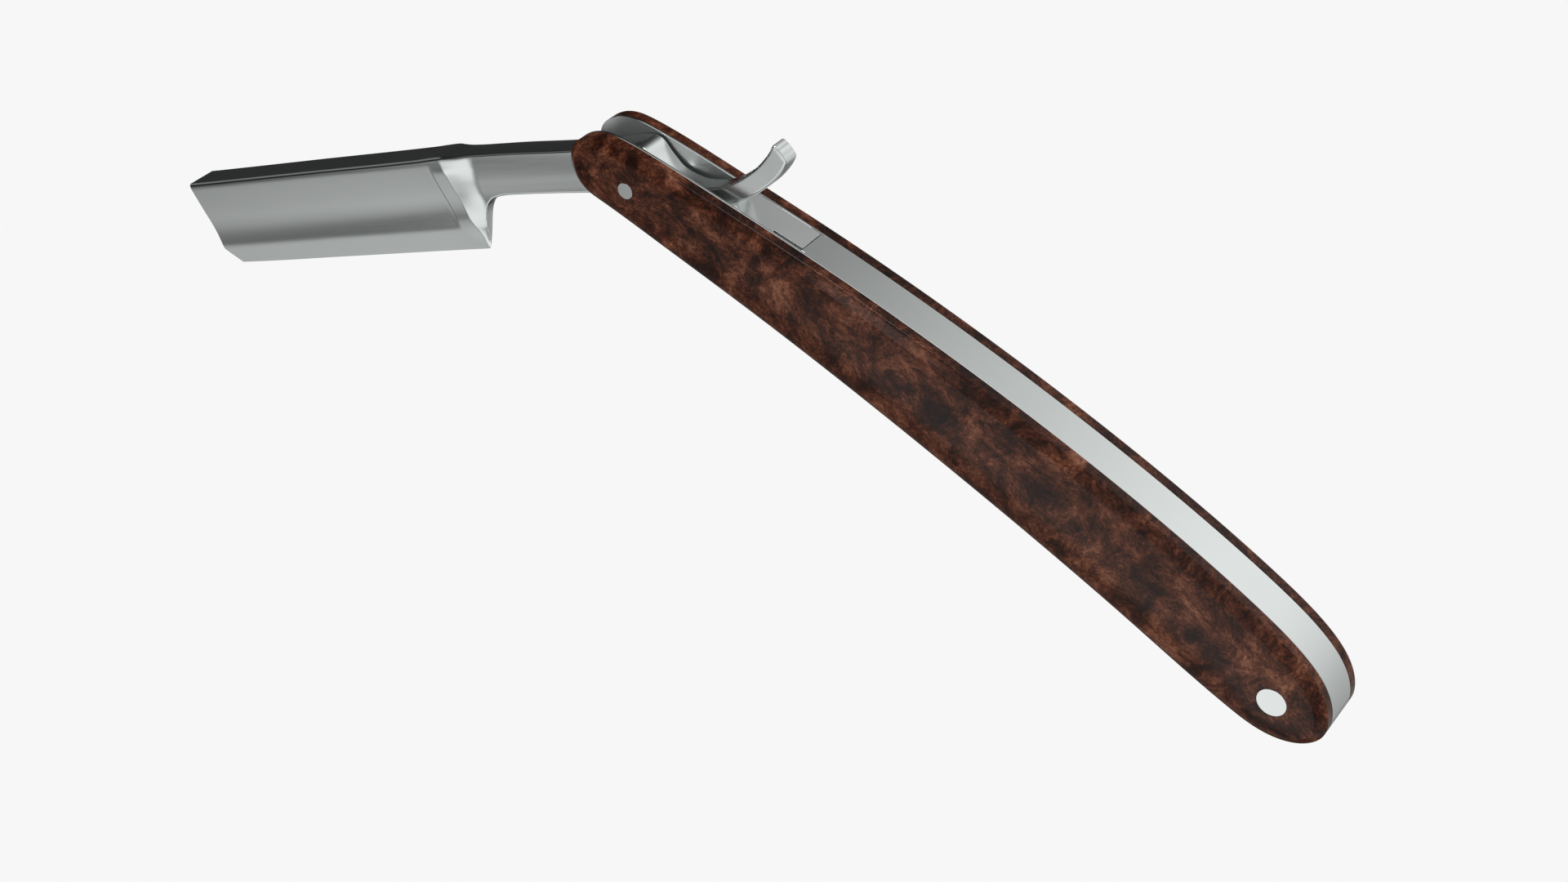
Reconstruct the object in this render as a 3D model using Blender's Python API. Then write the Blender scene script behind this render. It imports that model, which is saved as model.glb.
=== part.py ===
"""Straight razor with a hollow-ground blade, burl scales over steel liners and a steel back bar.

The razor lies on its side, opened. The blade's pivot axis is the world Z axis: X runs along the
handle from the pivot to the butt, Y runs towards the handle's back, and Z is the thickness.
Lengths below are millimetres, and MM turns them into the scene's metres.
"""

import math

import bmesh
import bpy
import numpy as np
from mathutils import Vector

MM = 0.001

# Handle stack, from the resting face up: scale, liner, gap, liner, scale.
SCALE_T = 3.4
LINER_T = 0.5
GAP = 6.16
SCALE_WALL = 1.88       # straight part of a scale's side, next to its liner
SCALE_BEVEL = (         # above that wall: height, and how far the side has leaned inwards
    (0.42, 0.42), (0.97, 1.08), (1.52, 1.9),
)

FAR_SCALE_Z = 0.0
FAR_LINER_Z = FAR_SCALE_Z + SCALE_T
GAP_Z = FAR_LINER_Z + LINER_T
MID_Z = GAP_Z + GAP / 2
NEAR_LINER_Z = GAP_Z + GAP
NEAR_SCALE_Z = NEAR_LINER_Z + LINER_T
TOP_Z = NEAR_SCALE_Z + SCALE_T

# Handle outline, one round of it: pivot end, back, butt, belly.
HANDLE_OUTLINE = (
    (-13.3, -0.9), (-12.2, 2.1), (-9.3, 4.8), (-4.6, 6.35), (10.0, 8.55), (33.0, 11.25),
    (57.0, 13.15), (84.0, 13.95), (111.0, 13.2), (128.0, 11.65), (137.5, 9.9), (143.4, 7.5),
    (147.2, 4.1), (148.8, -0.5), (147.5, -3.9), (144.2, -6.75), (140.0, -8.2), (134.0, -8.5),
    (113.0, -7.1), (84.0, -5.6), (55.0, -5.05), (28.0, -5.4), (8.0, -6.25), (-4.0, -6.9),
    (-9.0, -6.6), (-12.0, -4.3),
)
OUTLINE_STEPS = 4       # points on each span between two of those

# Pins
PIN_BUTT_X = 139.0
PIVOT_PIN_R = 1.55
BUTT_PIN_R = 2.68
DOWEL_R = 0.6
PIN_SLACK = 0.05        # radial room of a pin in the handle
PIVOT_SLACK = 0.08      # radial room of the pivot pin in the blade and the washers
DOWEL_BLIND = 1.4       # how deep a dowel runs into each scale
WASHER_R = 3.3
SEGMENTS = 32           # sides of a pin, a washer or a hole
DOWEL_SEGMENTS = 16
OVERSHOOT = 1.0         # a cutter runs this far past the faces it opens

# Back bar
BAR_START_X = 32.2
BAR_DEPTH = 2.6
BAR_BLOCK_X = 127.5     # the bar widens into the butt block here
BLOCK_ROUND = 5.0
BLOCK_ROUND_STEPS = 8
BAR_STEPS = 23
BAR_DOWELS_X = (46.0, 84.0, 118.0)

# Stop plate that the tail lands on
STOP_START_X = 17.8
STOP_END_X = 32.0
STOP_DEPTH = 2.3
STOP_SINK = 0.2         # how far its top lies below the liners' edges
STOP_SLIT = 0.55        # sliver left free beside the near liner
STOP_SLIT_LENGTH = 5.9
STOP_LEAN = 0.5         # its front end leans back, like the tail's underside
STOP_DOWEL_X = 21.6
STOP_DOWEL_DROP = 1.15

# Blade, in its own frame: pivot at the origin, nose at -X, spine at +Y, mid-plane at Z = 0.
OPEN_ANGLE = 43.4       # degrees from the handle's X axis to the blade's X axis at rest
SPINE_LINE = (
    (-120.2, 4.95), (-117.8, 5.0), (-85.0, 5.9), (-53.0, 6.75), (-46.5, 7.05), (-42.0, 6.8),
    (-30.0, 6.75), (-14.0, 6.45), (-6.0, 6.55), (0.0, 6.75),
)
EDGE_LINE = (
    (-118.1, -14.25), (-117.8, -14.25), (-85.0, -13.75), (-53.0, -13.2), (-45.5, -13.1),
    (-44.8, -12.3), (-43.7, -10.0), (-42.8, -7.6), (-41.6, -5.2), (-40.1, -3.5), (-37.8, -2.4),
    (-34.0, -2.0), (-14.0, -2.4), (-7.0, -3.2), (0.0, -4.5),
)
NOSE_BEND = (-120.9, -10.8)
# The tail: matching points on its upper and its lower side, with half its thickness.
TAIL_STATIONS = (
    ((2.2, 6.6), (2.2, -5.0), 2.70), ((3.7, 5.6), (4.6, -5.5), 2.66),
    ((4.8, 3.2), (6.6, -5.9), 2.58), ((6.3, 0.7), (8.6, -6.3), 2.46),
    ((8.3, -0.8), (10.7, -6.45), 2.32), ((11.3, -2.05), (13.4, -6.4), 2.15),
    ((14.9, -2.4), (16.3, -6.0), 2.0), ((17.4, -2.25), (18.9, -5.4), 1.9),
    ((19.9, -1.7), (21.7, -4.8), 1.82), ((23.0, -0.55), (24.85, -3.75), 1.75),
    ((26.0, 0.9), (28.0, -2.3), 1.7), ((28.9, 2.9), (30.75, -0.45), 1.7),
    ((30.4, 4.5), (32.4, 0.95), 1.7), ((30.95, 4.6), (32.7, 1.4), 1.45),
)
# Half thicknesses, by depth below the spine.
SPINE_HALF = 2.95       # the spine's flat top
GRIND_TOP = (0.65, 3.35)
GRIND_END = (14.7, 1.02)
HOLLOW = 0.16           # how far the grind is hollow at its middle
EDGE_HALF = 0.04
SHANK_HALF = 2.70
SHANK_ROUND = 0.30      # how much thinner the shank is at its upper and lower edge
SHANK_EASE = 0.12       # share of its height over which each of those edges is eased
LEAST_EDGE_RUN = 1.0    # the strip between the hollow and the edge is never narrower
SHOULDER_HALF = 3.25    # on the shoulder's ridge, just below the spine
SHOULDER_LINE = (       # on the ridge, from the heel up: Y and half thickness
    (-13.1, 0.05), (-10.0, 0.7), (-6.0, 1.7), (-1.5, 2.85), (1.5, 2.95), (4.0, SHOULDER_HALF),
)
HEEL_GROWTH = 0.35      # behind the ridge, the heel thickens by no more than this
GRIND_STOP_X = -50.0    # the grind ends, and the shoulder rises
SHOULDER_X = -45.8      # the shoulder's ridge
SHANK_X = -40.5         # the shank's flat begins
ROWS = (0.0, 0.034, 0.07, 0.14, 0.24, 0.34, 0.44, 0.54, 0.64, 0.71, 0.766, 0.82, 0.93, 1.0)
NO_HEIGHT = 0.1         # least height that a share of the blade's height is taken of
BODY_X = (
    -117.8, -101.0, -85.0, -68.0, -53.0, -51.0, -50.0, -49.0, -47.5, -46.6, -45.5, -44.8, -43.7,
    -42.8, -41.6, -40.1, -37.8, -34.0, -24.0, -14.0, -7.0, 0.0,
)

# Edges that fold by more degrees than this are shaded sharp.
PLAIN_SHARP = 30.0
BLADE_SHARP = 12.0

# Surfaces: colour and roughness
BURL = ((0.085, 0.030, 0.016), 0.28)
BRASS = ((0.62, 0.43, 0.17), 0.30)
LINER_STEEL = ((0.60, 0.61, 0.61), 0.24)
BAR_STEEL = ((0.62, 0.63, 0.63), 0.22)
PIN_STEEL = ((0.66, 0.67, 0.67), 0.20)
DOWEL_STEEL = ((0.50, 0.51, 0.51), 0.35)
BLADE_STEEL = ((0.58, 0.59, 0.59), 0.20)


def clear_scene():
    for item in list(bpy.data.objects):
        bpy.data.objects.remove(item, do_unlink=True)


def material(name, surface, metallic):
    colour, roughness = surface
    made = bpy.data.materials.new(name)
    made.use_nodes = True
    shader = made.node_tree.nodes["Principled BSDF"]
    shader.inputs["Base Color"].default_value = (*colour, 1.0)
    shader.inputs["Roughness"].default_value = roughness
    shader.inputs["Metallic"].default_value = metallic
    return made


def burl_wood(name):
    return material(name + "_burl", BURL, 0.0)


def metal(name, surface):
    return material(name + "_metal", surface, 1.0)


def closed_spline(points, steps):
    """A smooth closed curve through the points: a periodic cubic spline over the chord length."""
    knots = np.array(points, float)
    count = len(knots)
    chord = np.linalg.norm(np.roll(knots, -1, axis=0) - knots, axis=1)
    matrix = np.zeros((count, count))
    right = np.zeros((count, 2))
    for i in range(count):
        before, after = chord[i - 1], chord[i]
        matrix[i, i - 1] = before
        matrix[i, i] = 2 * (before + after)
        matrix[i, (i + 1) % count] = after
        rise = (knots[(i + 1) % count] - knots[i]) / after
        fall = (knots[i] - knots[i - 1]) / before
        right[i] = 6 * (rise - fall)
    bend = np.linalg.solve(matrix, right)
    curve = []
    for i in range(count):
        after = (i + 1) % count
        for step in range(steps):
            t = step / steps
            span = chord[i]
            u = 1 - t
            point = u * knots[i] + t * knots[after]
            point += span**2 / 6 * ((u**3 - u) * bend[i] + (t**3 - t) * bend[after])
            curve.append(point)
    return np.array(curve)


def inset(outline, distance):
    """The outline moved inwards along its own normals. It runs clockwise, as HANDLE_OUTLINE does."""
    along = np.roll(outline, -1, axis=0) - np.roll(outline, 1, axis=0)
    along /= np.linalg.norm(along, axis=1)[:, None]
    inwards = np.stack([along[:, 1], -along[:, 0]], axis=1)
    return outline + inwards * distance


def mesh_object(name, bm, finish, sharp_degrees):
    bmesh.ops.recalc_face_normals(bm, faces=bm.faces)
    mesh = bpy.data.meshes.new(name)
    bm.to_mesh(mesh)
    bm.free()
    mesh.shade_smooth()
    mesh.set_sharp_from_angle(angle=math.radians(sharp_degrees))
    made = bpy.data.objects.new(name, mesh)
    made.data.materials.append(finish)
    bpy.context.scene.collection.objects.link(made)
    return made


def skin(name, rings, finish, sharp_degrees=PLAIN_SHARP):
    """A closed solid over rings of equally many points, in millimetres, with a face on each end."""
    bm = bmesh.new()
    made = [[bm.verts.new(Vector(point) * MM) for point in ring] for ring in rings]
    for lower, upper in zip(made, made[1:]):
        for i in range(len(lower)):
            after = (i + 1) % len(lower)
            bm.faces.new((lower[i], lower[after], upper[after], upper[i]))
    bm.faces.new(made[0])
    bm.faces.new(made[-1])
    return mesh_object(name, bm, finish, sharp_degrees)


def slab(name, outline, low, high, finish):
    rings = [[(x, y, z) for x, y in outline] for z in (low, high)]
    return skin(name, rings, finish)


def rod(name, place, radius, ends, finish, sides=SEGMENTS):
    """A round bar along Z between two heights, with its origin on its own axis."""
    turns = [2 * math.pi * i / sides for i in range(sides)]
    outline = [(radius * math.cos(turn), radius * math.sin(turn)) for turn in turns]
    made = slab(name, outline, ends[0], ends[1], finish)
    made.location = (place[0] * MM, place[1] * MM, 0.0)
    return made


def bore(target, place, radius, ends, sides=SEGMENTS):
    """Cuts a round hole along Z through the target, between two heights of the world."""
    name = "cutter_%s_%d" % (target.name, len(target.modifiers))
    cutter = rod(name, place, radius, ends, target.data.materials[0], sides)
    cutter.hide_render = True
    cutter.display_type = "WIRE"
    cut = target.modifiers.new(name, "BOOLEAN")
    cut.operation = "DIFFERENCE"
    cut.solver = "EXACT"
    cut.object = cutter


def past(low, high):
    return (low - OVERSHOOT, high + OVERSHOOT)


def back_height(outline, x):
    """Y of the handle's back above a given X."""
    upper = outline[outline[:, 1] > 0.0]
    order = np.argsort(upper[:, 0])
    return float(np.interp(x, upper[order, 0], upper[order, 1]))


def dowel_places(outline):
    """X and Y of the blind dowels that carry the back bar and the stop plate."""
    places = [(x, back_height(outline, x) - BAR_DEPTH / 2) for x in BAR_DOWELS_X]
    plate_y = back_height(outline, STOP_DOWEL_X) - STOP_SINK - STOP_DOWEL_DROP
    return places + [(STOP_DOWEL_X, plate_y)]


def bore_for_pins(target, low, high):
    """The pivot pin's and the butt pin's holes, which every layer of the handle has."""
    bore(target, (0.0, 0.0), PIVOT_PIN_R + PIN_SLACK, past(low, high))
    bore(target, (PIN_BUTT_X, 0.0), BUTT_PIN_R + PIN_SLACK, past(low, high))


def bore_for_dowels(target, places, ends):
    for place in places:
        bore(target, place, DOWEL_R + PIN_SLACK, ends, DOWEL_SEGMENTS)


def make_scale(name, outline, inner_z, outwards):
    """A burl scale: a straight wall next to the liner, then a long bevel up to the flat outer face."""
    levels = [(0.0, 0.0), (SCALE_WALL, 0.0)]
    levels += [(SCALE_WALL + height, inwards) for height, inwards in SCALE_BEVEL]
    rings = []
    for depth, inwards in levels:
        ring = inset(outline, inwards)
        rings.append([(x, y, inner_z + outwards * depth) for x, y in ring])
    scale = skin(name, rings, burl_wood(name))
    outer_z = inner_z + outwards * SCALE_T
    bore_for_pins(scale, min(inner_z, outer_z), max(inner_z, outer_z))
    blind = outwards * (DOWEL_BLIND + PIN_SLACK)
    bore_for_dowels(scale, dowel_places(outline), sorted((inner_z - outwards, inner_z + blind)))
    return scale


def make_liner(name, outline, low):
    liner = slab(name, outline, low, low + LINER_T, metal(name, LINER_STEEL))
    bore_for_pins(liner, low, low + LINER_T)
    bore_for_dowels(liner, dowel_places(outline), past(low, low + LINER_T))
    return liner


def bar_inner_line(outline):
    """The back bar's inner side, from the butt block's lower end back to the bar's start."""
    line = []
    round_x = BAR_BLOCK_X - BLOCK_ROUND
    corner_y = back_height(outline, round_x) - BAR_DEPTH
    for i in range(BLOCK_ROUND_STEPS + 1):
        turn = math.pi / 2 * i / BLOCK_ROUND_STEPS
        x = round_x + BLOCK_ROUND * math.cos(turn)
        y = corner_y - BLOCK_ROUND + BLOCK_ROUND * math.sin(turn)
        line.append((x, y))
    for x in np.linspace(round_x, BAR_START_X, BAR_STEPS + 1)[1:]:
        line.append((float(x), back_height(outline, x) - BAR_DEPTH))
    return line


def make_back_bar(outline):
    """The bar between the liners: flush with their backs, and a solid block at the butt."""
    upper = outline[(outline[:, 0] > BAR_START_X) & (outline[:, 1] > 0.0)]
    lower = outline[(outline[:, 0] > BAR_BLOCK_X) & (outline[:, 1] <= 0.0)]
    belly = outline[outline[:, 1] <= 0.0]
    belly = belly[np.argsort(belly[:, 0])]
    start = (BAR_START_X, back_height(outline, BAR_START_X))
    end = (BAR_BLOCK_X, float(np.interp(BAR_BLOCK_X, belly[:, 0], belly[:, 1])))
    side = [start] + list(map(tuple, upper)) + list(map(tuple, lower)) + [end]
    side += bar_inner_line(outline)
    bar = slab("back_bar", side, GAP_Z, GAP_Z + GAP, metal("back_bar", BAR_STEEL))
    bore(bar, (PIN_BUTT_X, 0.0), BUTT_PIN_R + PIN_SLACK, past(GAP_Z, GAP_Z + GAP))
    bore_for_dowels(bar, dowel_places(outline)[:-1], past(GAP_Z, GAP_Z + GAP))
    return bar


def stop_top(outline, x):
    share = (STOP_END_X - x) / (STOP_END_X - STOP_START_X)
    return back_height(outline, x) - STOP_SINK * share


def make_stop_plate(outline):
    """The plate that the open blade's tail lands on. A slit frees its end from the near liner."""
    near = GAP_Z + GAP
    slit_x = STOP_END_X - STOP_SLIT_LENGTH
    plan = (
        (STOP_START_X, GAP_Z), (STOP_END_X, GAP_Z), (STOP_END_X, near - STOP_SLIT),
        (slit_x, near - STOP_SLIT), (slit_x, near), (STOP_START_X, near),
    )
    upper = [(x, stop_top(outline, x), z) for x, z in plan]
    lower = []
    for x, z in plan:
        lean = STOP_LEAN if x == STOP_START_X else 0.0
        lower.append((x - lean, stop_top(outline, x) - STOP_DEPTH, z))
    plate = skin("stop_plate", [lower, upper], metal("stop_plate", BAR_STEEL))
    bore_for_dowels(plate, dowel_places(outline)[-1:], past(GAP_Z, near))
    return plate


def make_pins(outline):
    """The two through pins, flush with both scales, and the blind dowels."""
    ends = (FAR_SCALE_Z, TOP_Z)
    rod("pivot_pin", (0.0, 0.0), PIVOT_PIN_R, ends, metal("pivot_pin", PIN_STEEL))
    rod("butt_pin", (PIN_BUTT_X, 0.0), BUTT_PIN_R, ends, metal("butt_pin", PIN_STEEL))
    names = ("bar_dowel_front", "bar_dowel_middle", "bar_dowel_rear", "stop_dowel")
    ends = (FAR_LINER_Z - DOWEL_BLIND, NEAR_SCALE_Z + DOWEL_BLIND)
    for name, place in zip(names, dowel_places(outline)):
        rod(name, place, DOWEL_R, ends, metal(name, DOWEL_STEEL), DOWEL_SEGMENTS)


def make_washer(name, low):
    ends = (low, low + GAP / 2 - SHANK_HALF)
    washer = rod(name, (0.0, 0.0), WASHER_R, ends, metal(name, BRASS))
    bore(washer, (0.0, 0.0), PIVOT_PIN_R + PIVOT_SLACK, past(*ends))
    return washer


def on_line(line, x):
    return float(np.interp(x, [p[0] for p in line], [p[1] for p in line]))


def grind_half(depth, height):
    """Half the blade's thickness at a depth below the spine, where the faces are ground hollow."""
    (top_depth, top_half), (end_depth, end_half) = GRIND_TOP, GRIND_END
    if depth <= top_depth:
        return SPINE_HALF + (top_half - SPINE_HALF) * depth / top_depth
    if depth <= end_depth:
        t = (depth - top_depth) / (end_depth - top_depth)
        return top_half + (end_half - top_half) * t - 4 * HOLLOW * t * (1 - t)
    t = (depth - end_depth) / (height - end_depth)
    return end_half + (EDGE_HALF - end_half) * t


def shoulder_half(y, depth):
    """Half the thickness on the shoulder's ridge: full at the spine, down to the edge at the heel."""
    if depth <= GRIND_TOP[0]:
        return SPINE_HALF + (SHOULDER_HALF - SPINE_HALF) * depth / GRIND_TOP[0]
    return on_line(SHOULDER_LINE, y)


def eased(half, share):
    """Half a thickness, eased near the upper and the lower edge, where the share is 0 and 1."""
    edge = min(share, 1.0 - share)
    return half - SHANK_ROUND * max(0.0, 1.0 - edge / SHANK_EASE) ** 2


def half_thickness(x, y, top, bottom):
    depth = top - y
    height = max(top - bottom, NO_HEIGHT)
    ground = grind_half(depth, max(height, GRIND_END[0] + LEAST_EDGE_RUN))
    ridge = shoulder_half(y, depth)
    shank = eased(SHANK_HALF, depth / height)
    if x <= GRIND_STOP_X:
        return ground
    if x <= SHOULDER_X:
        t = (x - GRIND_STOP_X) / (SHOULDER_X - GRIND_STOP_X)
        return ground + (ridge - ground) * t
    if x <= SHANK_X:
        t = (x - SHOULDER_X) / (SHANK_X - SHOULDER_X)
        return ridge + (min(shank, ridge + HEEL_GROWTH) - ridge) * t * t * (3 - 2 * t)
    return min(shank, ridge + HEEL_GROWTH)


def blade_sections():
    """Cross sections of the blade from nose to pivot, each a list of (x, y, half thickness)."""
    sections = []
    nose_top, nose_corner = SPINE_LINE[0], EDGE_LINE[0]
    nose = []
    for fraction in ROWS:
        y = nose_top[1] + (nose_corner[1] - nose_top[1]) * fraction
        x = float(np.interp(-y, (-nose_top[1], -NOSE_BEND[1], -nose_corner[1]),
                            (nose_top[0], NOSE_BEND[0], nose_corner[0])))
        nose.append((x, y, grind_half(nose_top[1] - y, nose_top[1] - nose_corner[1])))
    sections.append(nose)
    for x in BODY_X:
        top, bottom = on_line(SPINE_LINE, x), on_line(EDGE_LINE, x)
        rows = []
        for fraction in ROWS:
            y = top + (bottom - top) * fraction
            rows.append((x, y, half_thickness(x, y, top, bottom)))
        sections.append(rows)
    return sections


def tail_sections():
    """Cross sections of the tang and the tail, which curls up behind the pivot."""
    sections = []
    for (top_x, top_y), (low_x, low_y), half in TAIL_STATIONS:
        rows = []
        for fraction in ROWS:
            x = top_x + (low_x - top_x) * fraction
            y = top_y + (low_y - top_y) * fraction
            rows.append((x, y, eased(half, fraction)))
        sections.append(rows)
    return sections


def make_blade():
    """One forging: ground blade, shoulder, shank, tang and tail."""
    rings = []
    for rows in blade_sections() + tail_sections():
        near = [(x, y, half) for x, y, half in rows]
        far = [(x, y, -half) for x, y, half in reversed(rows)]
        rings.append(near + far)
    blade = skin("blade", rings, metal("blade", BLADE_STEEL), BLADE_SHARP)
    blade.location = (0.0, 0.0, MID_Z * MM)
    blade.rotation_euler = (0.0, 0.0, math.radians(OPEN_ANGLE))
    bore(blade, (0.0, 0.0), PIVOT_PIN_R + PIVOT_SLACK, (GAP_Z, GAP_Z + GAP))
    return blade


def main():
    clear_scene()
    outline = closed_spline(HANDLE_OUTLINE, OUTLINE_STEPS)
    make_scale("far_scale", outline, FAR_LINER_Z, -1.0)
    make_liner("far_liner", outline, FAR_LINER_Z)
    make_liner("near_liner", outline, NEAR_LINER_Z)
    make_scale("near_scale", outline, NEAR_SCALE_Z, 1.0)
    make_back_bar(outline)
    make_stop_plate(outline)
    make_pins(outline)
    make_washer("far_washer", GAP_Z)
    make_washer("near_washer", MID_Z + SHANK_HALF)
    make_blade()


main()
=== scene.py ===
"""Straight razor: the visible model, its materials and its studio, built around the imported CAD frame.

Everything is in the frame's axes: the blade's pivot is the Z axis, X runs along the handle to its butt,
Y runs towards the handle's back and Z through its thickness. Shape values are in millimetres.
"""

import math

import bmesh
import bpy
import numpy as np
from mathutils import Matrix, Vector

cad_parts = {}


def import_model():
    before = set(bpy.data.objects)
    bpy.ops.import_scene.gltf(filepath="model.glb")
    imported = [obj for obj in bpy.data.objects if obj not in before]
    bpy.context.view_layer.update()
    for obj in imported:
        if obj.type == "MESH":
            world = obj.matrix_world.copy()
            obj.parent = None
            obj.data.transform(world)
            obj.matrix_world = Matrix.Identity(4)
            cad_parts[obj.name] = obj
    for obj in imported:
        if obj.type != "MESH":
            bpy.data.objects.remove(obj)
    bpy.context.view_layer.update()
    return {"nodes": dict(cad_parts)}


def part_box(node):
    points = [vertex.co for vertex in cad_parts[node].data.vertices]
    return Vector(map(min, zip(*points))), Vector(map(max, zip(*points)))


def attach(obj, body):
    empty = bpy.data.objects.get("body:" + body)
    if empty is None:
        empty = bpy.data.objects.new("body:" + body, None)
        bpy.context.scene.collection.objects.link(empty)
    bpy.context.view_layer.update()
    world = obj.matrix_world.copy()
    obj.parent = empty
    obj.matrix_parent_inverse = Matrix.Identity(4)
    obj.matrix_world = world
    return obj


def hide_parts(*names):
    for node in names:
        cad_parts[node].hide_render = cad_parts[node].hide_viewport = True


MM = 0.001

# Handle outline, one round of it: pivot end, back, butt, belly.
HANDLE_OUTLINE = (
    (-13.0, -0.9), (-11.95, 2.1), (-9.15, 4.8), (-4.6, 6.35), (10.0, 8.55), (33.0, 11.25),
    (57.0, 13.15), (84.0, 13.95), (111.0, 13.2), (128.0, 11.65), (137.5, 9.9), (143.4, 7.5),
    (147.2, 4.1), (148.8, -0.5), (147.5, -3.9), (144.2, -6.75), (140.0, -8.2), (134.0, -8.5),
    (113.0, -7.1), (84.0, -5.6), (55.0, -5.05), (28.0, -5.4), (8.0, -6.25), (-4.0, -6.9),
    (-9.0, -6.6), (-11.75, -4.3),
)
OUTLINE_STEPS = 14

# A scale's side, from the liner up: height, and how far the side has leaned inwards.
SCALE_SIDE = (
    (0.0, 0.04), (0.04, 0.0), (0.5, 0.0), (1.0, 0.0), (1.5, 0.0), (1.79, 0.0), (1.85, 0.010), (1.92, 0.040),
    (2.0, 0.115), (2.4, 0.595), (2.7, 0.960), (3.0, 1.330), (3.2, 1.585), (3.34, 1.765), (3.38, 1.84),
    (3.4, 1.93),
)

# The liners' chamfers: on their edges along the slot, and along the near and the far scale.
SLOT_CHAMFER = 0.07
NEAR_WOOD_CHAMFER = 0.055
FAR_WOOD_CHAMFER = 0.15

BAR_DEPTH = 2.6
BAR_BLOCK_X = 127.5      # from here to the butt the back bar fills the slot
BAR_BLOCK_ROUND = 5.0
BAR_ROUND_STEPS = 17
BAR_INNER_STEPS = 60

STOP_START_X = 17.8
STOP_DEPTH = 2.3
STOP_SINK = 0.2          # how far its top lies below the handle's back at its start
STOP_LEAN = 0.5          # how far the foot of its front face reaches forwards
STOP_SLIT = 0.55
STOP_SLIT_LENGTH = 5.9
STOP_CHAMFER = 0.025

PIN_CHAMFER = 0.05
PIN_HOLE_ROOM = 0.03
HOLE_SIDES = 64

# Blade, in its own frame: pivot at the origin, nose at -X, spine at +Y, mid-plane at Z = 0.
OPEN_ANGLE = 43.4
SPINE_LINE = (
    (-120.2, 4.95), (-117.8, 5.0), (-85.0, 5.9), (-53.0, 6.75), (-46.5, 7.05), (-42.0, 6.8),
    (-30.0, 6.75), (-14.0, 6.45), (-6.0, 6.55), (0.0, 6.75), (2.2, 6.6),
)
EDGE_LINE = (
    (-118.1, -14.25), (-117.8, -14.25), (-85.0, -13.75), (-53.0, -13.2), (-45.5, -13.1),
    (-44.8, -12.3), (-43.7, -10.0), (-42.8, -7.6), (-41.6, -5.2), (-40.1, -3.5), (-37.8, -2.4),
    (-34.0, -2.0), (-14.0, -2.4), (-7.0, -3.2), (0.0, -4.5), (2.2, -5.0),
)
NOSE_BEND = (-120.9, -10.8)
TAIL_STATIONS = (
    ((2.2, 6.6), (2.2, -5.0), 2.70), ((3.7, 5.6), (4.6, -5.5), 2.66),
    ((4.8, 3.2), (6.6, -5.9), 2.58), ((6.3, 0.7), (8.6, -6.3), 2.46),
    ((8.3, -0.8), (10.7, -6.45), 2.32), ((11.3, -2.05), (13.4, -6.4), 2.15),
    ((14.9, -2.4), (16.3, -6.0), 2.0), ((17.4, -2.25), (18.9, -5.4), 1.9),
    ((19.9, -1.7), (21.7, -4.8), 1.82), ((23.0, -0.55), (24.85, -3.75), 1.75),
    ((26.0, 0.9), (28.0, -2.3), 1.7), ((28.9, 2.9), (30.75, -0.45), 1.7),
    ((30.4, 4.35), (32.2, 0.95), 1.7),
)
TAIL_STEPS = 6
TAIL_CAP = (             # the tail's rounded end: how far outwards, and how much narrower
    (0.12, 0.02), (0.24, 0.07), (0.33, 0.14), (0.38, 0.24), (0.4, 0.34),
)
TAIL_BULGE = 0.32        # how far the middle of that end stands out beyond its corners
TAIL_CAP_THINNING = 0.8  # its half thickness shrinks by this share of the narrowing

# The ground blade's half thickness: the spine's narrow bevel (depth below the spine, half thickness), then
# the hollow face as the slope it has at each depth.
SPINE_BEVEL = ((0.0, 3.12), (0.12, 3.22), (0.22, 3.31), (0.38, 3.39), (0.6, 3.435), (1.0, 3.42))
FACE_SLOPES = (
    (1.0, 0.15), (1.6, 0.19), (6.0, 0.205), (8.5, 0.222), (10.5, 0.170), (12.5, 0.092), (14.6, 0.048),
    (15.4, 0.20),
)
FACE_END = 15.4
EDGE_HALF = 0.03
LEAST_EDGE_RUN = 1.0     # the stretch between the face's end and the edge is never narrower

# Before the shoulder's ridge a strip stands above the ground face. The face first curves up a little towards
# it, then meets it in a small wall, and the strip itself rises to the ridge.
POCKET = 0.17            # how far the strip stands above the face
COVE_START_X = -51.0
COVE_WALL_X = -49.95
COVE_SHARE = 0.28        # share of that height before the wall
STRIP_X = -49.65
STRIP_RISE = 0.10
STRIP_TOP = (0.9, 2.5)   # depth at which the strip starts, and over how much it comes to its full height
POCKET_FOOT = (13.2, 2.2)    # depth at which its height starts to go, and over how much
RISE_FOOT = (15.0, 3.5)      # the same for its rise
RIDGE_LINE = (           # the shoulder's ridge: Y and X
    (-13.1, -45.3), (-10.6, -45.2), (-8.4, -45.8), (-5.5, -46.3), (6.5, -46.5),
)
SLOPE_FOOT = (           # the foot of the slope behind the ridge: Y and X
    (-13.1, -45.0), (-10.6, -43.9), (-8.4, -42.95), (-3.7, -40.35), (-1.2, -40.1), (2.2, -39.2),
    (6.2, -38.3),
)
SLOPE_BREAK = 0.76       # share of that slope that is straight
LEAST_SLOPE_RUN = 0.3    # the slope is never shorter than this
SHANK_FACE = (           # the shank's half thickness just behind that foot: Y and half thickness
    (-12.3, 0.06), (-10.0, 0.50), (-7.6, 0.87), (-3.9, 1.22), (-2.0, 1.46), (0.0, 1.80), (2.0, 2.16),
    (4.0, 2.46), (6.0, 2.70), (7.0, 2.75),
)
SHANK_HALF = 2.70
TANG_START = (-14.0, 8.0)    # where the shank starts to come to that half thickness, and over how much
SHANK_EDGE = 0.42        # radius of the shank's and the tail's long edges
EDGE_ROUND_RUN = 3.0     # they become round over this much behind the ridge

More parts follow.
